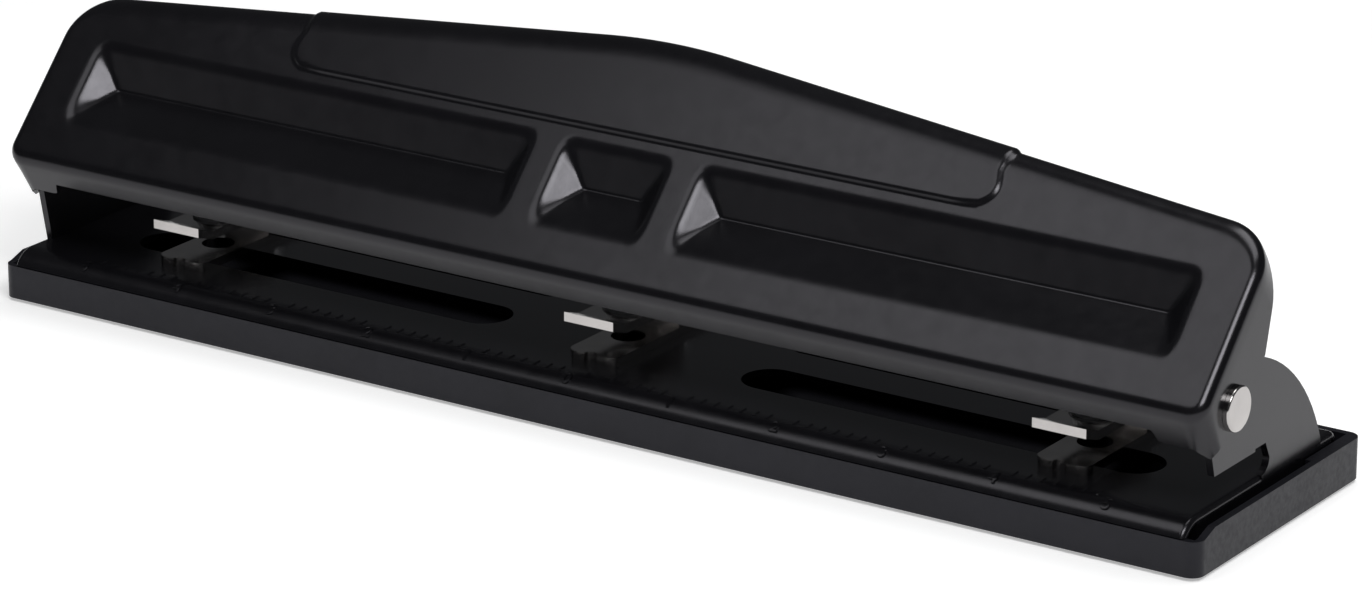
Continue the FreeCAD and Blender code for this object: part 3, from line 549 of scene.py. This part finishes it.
    def make(self):
        """The net of the face, shaped, turned down all round and facing out."""
        net = bmesh.new()
        main = len(self.columns) - 1 + END_COLUMNS
        tall = len(self.rows) - 1 + UPPER_ROWS
        mark = net.verts.layers.int.new("outline")
        bmesh.ops.create_grid(net, x_segments=main * 2, y_segments=tall, size=1.0)
        flat = {}
        heights = {}
        for vert in net.verts:
            column = round(vert.co.x * main)
            row = round((vert.co.y + 1) / 2 * tall)
            x, s = self.place(column, row)
            flat[vert] = (x, s)
            heights[vert] = self.grip(x, s, self.top(x, 0.0))
            vert.co = (x, s, heights[vert] - self.recess(x, s))
        self.turn_down(net, mark, flat, heights)
        self.face_out(net)
        return net

    def way_out(self, x, s):
        """The way outwards at a point of the outline."""
        across = abs(x)
        if s < self.low + NEAR and across < self.foot_x:
            way = Vector((0.0, -1.0))
        elif s < self.foot_s and across > self.foot_x - NEAR:
            way = Vector((across - self.foot_x, s - self.foot_s))
        elif across > self.main_end - NEAR and s > self.corner_s:
            way = Vector((across - self.corner_x, s - self.corner_s))
        elif across > self.main_end:
            way = Vector((1.0, 0.0))
        elif across < (APEX_BEND - self.roll) * sin(LEAN):
            way = Vector((across, s - APEX + APEX_BEND / cos(LEAN)))
        else:
            way = Vector((sin(LEAN), cos(LEAN)))
        way.normalize()
        return Vector((way.x if x > 0 else -way.x, way.y))

    def turn_down(self, net, mark, flat, heights):
        """Draws the outline out round its bend and down to its edge."""
        spots = []
        for vert in {v for e in net.edges if e.is_boundary for v in e.verts}:
            x, s = flat[vert]
            out = self.way_out(x, s)
            spots.append((x, s, out, heights[vert]) + self.edge_point(x, s, out))
            vert[mark] = len(spots)
        edges = [e for e in net.edges if e.is_boundary]
        for step in range(1, BEND_STEPS + WALL_STEPS + 1):
            drawn = bmesh.ops.extrude_edge_only(net, edges=edges)["geom"]
            edges = [g for g in drawn if isinstance(g, bmesh.types.BMEdge)]
            for vert in (g for g in drawn if isinstance(g, bmesh.types.BMVert)):
                x, s, out, rise, run, drop, turn, end = spots[vert[mark] - 1]
                angle = turn * min(1.0, step / BEND_STEPS)
                around = (run + rise) * sin(angle)
                bent = Vector((x + out[0] * around, s + out[1] * around,
                               (drop + rise) * cos(angle) - drop))
                last = Vector((end[0] + out[0] * rise, end[1] + out[1] * rise, -end[2]))
                share = max(0.0, (step - BEND_STEPS) / WALL_STEPS)
                vert.co = bent.lerp(last, share)

    def face_out(self, net):
        """Points every face of the sheet away from the punch."""
        bmesh.ops.recalc_face_normals(net, faces=net.faces)
        net.normal_update()
        middle = min(net.faces, key=lambda f: abs(f.calc_center_median().x)
                     + abs(f.calc_center_median().y - 40.0))
        if middle.normal.z < 0:
            bmesh.ops.reverse_faces(net, faces=net.faces)


class PUNCH_OT_handle(bpy.types.Operator):
    """Press the handle's sheet, with its recesses, grip panel, lip and cheeks"""

    bl_idname = "punch.handle"
    bl_label = "Press Handle"
    bl_options = {"REGISTER", "UNDO"}

    def execute(self, context):
        sizes = context.scene.punch_handle
        net = HandleSheet(sizes).make()
        for vert in net.verts:
            vert.co = on_slope(vert.co.x, vert.co.y, -vert.co.z)
        shade(net)
        for edge in net.edges:
            if edge.is_boundary:
                edge.smooth = False
        handle = new_piece("handle_pressing", net, "gloss_black", "handle")
        wall = handle.modifiers.new("sheet", "SOLIDIFY")
        wall.thickness = sizes.sheet
        wall.offset = -1.0
        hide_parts("press_handle")
        return {"FINISHED"}


# ---- return springs --------------------------------------------------------------------

TURN_STEPS = 28
WIRE_SIDES = 12
CLOSE_PITCH = 1.08
CLOSE_TURNS = 0.875
OPEN_TURNS = 2.75


class PUNCH_OT_springs(bpy.types.Operator):
    """Wind the three return springs, with closed end turns"""

    bl_idname = "punch.springs"
    bl_label = "Wind Return Springs"
    bl_options = {"REGISTER", "UNDO"}

    def execute(self, context):
        sizes = context.scene.punch_springs
        for place, body in (("left", "left_head"), ("center", "frame"),
                            ("right", "right_head")):
            low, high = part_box(place + "_return_spring")
            low_pin, high_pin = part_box(place + "_punch_pin")
            axis = (low_pin + high_pin) / 2
            coil = wound_coil(axis, low.z, high.z, sizes)
            spring = new_piece(place + "_coil", coil, "spring_steel", body)
            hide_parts(place + "_return_spring")
            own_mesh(spring)
        return {"FINISHED"}


def wound_coil(axis, low, high, sizes):
    """Round wire spun up a helix: close turns at both ends, open ones between."""
    wire = sizes.wire / 2
    coil = bmesh.new()
    turned = Matrix.Rotation(pi / 2, 4, "X")
    start = Matrix.Translation((axis.x + sizes.mean / 2, axis.y, low + wire))
    bmesh.ops.create_circle(coil, cap_ends=False, segments=WIRE_SIDES, radius=wire,
                            matrix=start @ turned)
    close = sizes.wire * CLOSE_PITCH
    room = high - low - sizes.wire - close * CLOSE_TURNS * 2
    geometry = coil.verts[:] + coil.edges[:]
    for turns, lift in ((CLOSE_TURNS, close), (OPEN_TURNS, room / OPEN_TURNS),
                        (CLOSE_TURNS, close)):
        count = round(turns * TURN_STEPS)
        made = bmesh.ops.spin(coil, geom=geometry, cent=axis, axis=(0, 0, 1),
                              dvec=(0, 0, lift * turns / count), angle=turns * 2 * pi,
                              steps=count, use_merge=False, use_duplicate=False)
        geometry = made["geom_last"]
    bmesh.ops.holes_fill(coil, edges=[e for e in coil.edges if e.is_boundary], sides=0)
    bmesh.ops.remove_doubles(coil, verts=coil.verts, dist=wire / 100)
    bmesh.ops.recalc_face_normals(coil, faces=coil.faces)
    shade(coil)
    return coil


# ---- stamped scale --------------------------------------------------------------------

PLATE_TOP = 11.5
ROLL_RADIUS = 6.0
ROLL_BACK = 5.5
TICK_ARC = 0.2
DIGIT_ARC = 3.1
INCH = 25.4
TYPE_SIZE = 1.35
TICK_ROUND = 0.7
DIGIT_ROUND = 0.35


class PUNCH_OT_scale(bpy.types.Operator):
    """Stamp the inch scale along the front of the base frame"""

    bl_idname = "punch.scale"
    bl_label = "Stamp Scale"
    bl_options = {"REGISTER", "UNDO"}

    def execute(self, context):
        sizes = context.scene.punch_scale
        stamp = bmesh.new()
        for eighth in range(-8 * sizes.reach, 8 * sizes.reach + 1):
            if eighth % 8:
                add_tick(stamp, eighth * INCH / 8 * MM, sizes)
        for inch in range(-sizes.reach, sizes.reach + 1):
            add_number(stamp, str(abs(inch)), inch * INCH * MM, sizes)
        shade(stamp, 30.0)
        new_piece("stamped_scale", stamp, "gloss_black", "frame")
        return {"FINISHED"}


def wrap(verts, arc):
    """Lays flat shapes on the front roll, arc below its crest."""
    radius = ROLL_RADIUS * MM
    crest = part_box("chip_tray")[0].y + ROLL_BACK * MM
    for vert in verts:
        along_roll = vert.co.y - arc * MM
        angle = min(0.0, along_roll) / radius
        reach = radius + vert.co.z
        vert.co.y = crest + max(0.0, along_roll) + reach * sin(angle)
        vert.co.z = PLATE_TOP * MM - radius + reach * cos(angle)


def add_tick(stamp, x, sizes):
    """One stroke of the scale, with rounded sides."""
    size = Matrix.Diagonal((sizes.stroke, sizes.tick, sizes.proud * 2, 1.0))
    place = Matrix.Translation((x, 0.0, 0.0))
    made = bmesh.ops.create_cube(stamp, size=1.0, matrix=place @ size)
    top = [e for e in {e for v in made["verts"] for e in v.link_edges}
           if all(w.co.z > 0.0 for w in e.verts)]
    made = bmesh.ops.bevel(stamp, geom=top, offset=sizes.proud * TICK_ROUND, segments=2,
                           profile=0.5, affect="EDGES", material=-1)
    shell = {v for f in made["faces"] for v in f.verts}
    shell |= {w for v in shell for e in v.link_edges for w in e.verts}
    wrap(shell, TICK_ARC)


def add_number(stamp, text, x, sizes):
    """A number of the scale, bent round the front roll."""
    curve = bpy.data.curves.new("number", "FONT")
    curve.body = text
    curve.size = sizes.digit * TYPE_SIZE
    curve.align_x = "CENTER"
    curve.align_y = "CENTER"
    curve.extrude = sizes.proud
    curve.bevel_depth = sizes.proud * DIGIT_ROUND
    curve.bevel_resolution = 1
    curve.resolution_u = 4
    carrier = bpy.data.objects.new("number", curve)
    mesh = bpy.data.meshes.new_from_object(carrier)
    flat = bmesh.new()
    flat.from_mesh(mesh)
    bmesh.ops.triangulate(flat, faces=flat.faces)
    bmesh.ops.translate(flat, verts=flat.verts, vec=(x, 0.0, 0.0))
    wrap(flat.verts, DIGIT_ARC)
    flat.to_mesh(mesh)
    flat.free()
    stamp.from_mesh(mesh)
    bpy.data.objects.remove(carrier)
    bpy.data.curves.remove(curve)
    bpy.data.meshes.remove(mesh)


# ---- carried parts -----------------------------------------------------------------------

class PUNCH_OT_finishes(bpy.types.Operator):
    """Give every carried part the finish of its material slot"""

    bl_idname = "punch.finishes"
    bl_label = "Finish Carried Parts"
    bl_options = {"REGISTER", "UNDO"}

    def execute(self, context):
        for name, part in frame["nodes"].items():
            slot = slot_of(name)
            part.data.materials.clear()
            part.data.materials.append(finish(slot))
        return {"FINISHED"}


def slot_of(name):
    """The record's slot for a carried part, from its kind."""
    kinds = (("chip_tray", "tray_black"), ("tray_pads", "pad_black"),
             ("base_frame", "gloss_black"), ("press_handle", "gloss_black"),
             ("head_bracket", "nickel"), ("hinge_rivet", "nickel"),
             ("press_bar", "tool_steel"), ("guide_bush", "tool_steel"),
             ("punch_pin", "tool_steel"), ("return_spring", "spring_steel"),
             ("clip", "spring_steel"))
    return next((slot for kind, slot in kinds if kind in name), "zinc")


# ---- stage ---------------------------------------------------------------------------------

CAMERA_PLACE = Vector((0.6276, -0.92045, 0.4066))
CAMERA_TARGET = Vector((0.01088, -0.00375, 0.02179))
CAMERA_LENS = 148.67
CAMERA_SENSOR = 36.0
CAMERA_REACH = 30.0
ROOM_TONE = (0.93, 0.96, 1.0, 1.0)
FLOOR_SIDES = 96
FLOOR_DROP = 0.0002
FLOOR_TONE = (0.86, 0.86, 0.86)
FLOOR_GLOW = 0.40
KEY_WAY = (0.545, -0.39, 0.74)
FILL_WAY = (-0.24, -0.41, 0.87)
TOP_WAY = (0.1, 0.25, 1.0)
TOP_SHARE = 0.9


class PUNCH_OT_stage(bpy.types.Operator):
    """Lay the floor, hang the softboxes and set the camera"""

    bl_idname = "punch.stage"
    bl_label = "Set Stage"
    bl_options = {"REGISTER", "UNDO"}

    def execute(self, context):
        sizes = context.scene.punch_stage
        lay_floor(sizes)
        softbox("key_softbox", KEY_WAY, 1.7, (0.7, 0.5), sizes.key)
        softbox("fill_softbox", FILL_WAY, 1.5, (0.9, 0.7), sizes.fill)
        softbox("top_softbox", TOP_WAY, 1.8, (1.2, 0.8), sizes.key * TOP_SHARE)
        world = bpy.data.worlds.new("studio_room")
        world.use_nodes = True
        light = world.node_tree.nodes["Background"]
        light.inputs["Color"].default_value = ROOM_TONE
        light.inputs["Strength"].default_value = sizes.room
        context.scene.world = world
        context.scene.view_settings.view_transform = "Standard"
        lens = bpy.data.cameras.new("camera")
        lens.lens = CAMERA_LENS
        lens.sensor_width = CAMERA_SENSOR
        lens.clip_end = CAMERA_REACH
        camera = bpy.data.objects.new("camera", lens)
        camera.location = CAMERA_PLACE
        look = CAMERA_TARGET - CAMERA_PLACE
        camera.rotation_euler = look.to_track_quat("-Z", "Y").to_euler()
        context.scene.collection.objects.link(camera)
        context.scene.camera = camera
        return {"FINISHED"}


def lay_floor(sizes):
    """A wide disc of pale paper just under the pads."""
    disc = bmesh.new()
    bmesh.ops.create_circle(disc, cap_ends=True, segments=FLOOR_SIDES,
                            radius=sizes.floor)
    bmesh.ops.translate(disc, verts=disc.verts, vec=(0, 0, -FLOOR_DROP))
    mesh = bpy.data.meshes.new("floor")
    disc.to_mesh(mesh)
    disc.free()
    floor = bpy.data.objects.new("floor", mesh)
    paper = Finish("pale_paper")
    paper.set(Roughness=0.9, Emission_Color=(1.0, 1.0, 1.0, 1.0), Emission_Strength=FLOOR_GLOW)
    paper.colour(paper.noise(3.0, 2.0), FLOOR_TONE, 0.01)
    mesh.materials.append(paper.material)
    bpy.context.scene.collection.objects.link(floor)


def softbox(name, way, distance, size, strength):
    """A rectangular light that faces the punch from one side."""
    light = bpy.data.lights.new(name, "AREA")
    light.shape = "RECTANGLE"
    light.size, light.size_y = size
    light.energy = strength
    lamp = bpy.data.objects.new(name, light)
    lamp.location = Vector(way).normalized() * distance
    lamp.rotation_euler = (-lamp.location).to_track_quat("-Z", "Y").to_euler()
    bpy.context.scene.collection.objects.link(lamp)


# ---- panel and running --------------------------------------------------------------------

STEPS = (PUNCH_OT_stage, PUNCH_OT_finishes, PUNCH_OT_handle, PUNCH_OT_springs,
         PUNCH_OT_scale)
GROUPS = {
    "punch_tones": PunchTones,
    "punch_handle": PunchHandleSizes,
    "punch_springs": PunchSpringSizes,
    "punch_scale": PunchScaleSizes,
    "punch_stage": PunchStageSizes,
}


class PUNCH_PT_panel(bpy.types.Panel):
    """Sizes, tones and steps of the paper punch"""

    bl_idname = "PUNCH_PT_panel"
    bl_label = "Three-Hole Punch"
    bl_space_type = "VIEW_3D"
    bl_region_type = "UI"
    bl_category = "Punch"

    def draw(self, context):
        for name, group in GROUPS.items():
            box = self.layout.box()
            for field in group.__annotations__:
                box.prop(getattr(context.scene, name), field)
        for step in STEPS:
            self.layout.operator(step.bl_idname)


CLASSES = (*GROUPS.values(), *STEPS, PUNCH_PT_panel)


def register():
    for item in CLASSES:
        bpy.utils.register_class(item)
    for name, group in GROUPS.items():
        setattr(bpy.types.Scene, name, PointerProperty(type=group))


def unregister():
    for name in GROUPS:
        delattr(bpy.types.Scene, name)
    for item in reversed(CLASSES):
        bpy.utils.unregister_class(item)


def main():
    register()
    bpy.ops.punch.stage()
    bpy.ops.punch.finishes()
    bpy.ops.punch.handle()
    bpy.ops.punch.springs()
    bpy.ops.punch.scale()
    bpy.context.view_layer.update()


if __name__ == "__main__":
    main()
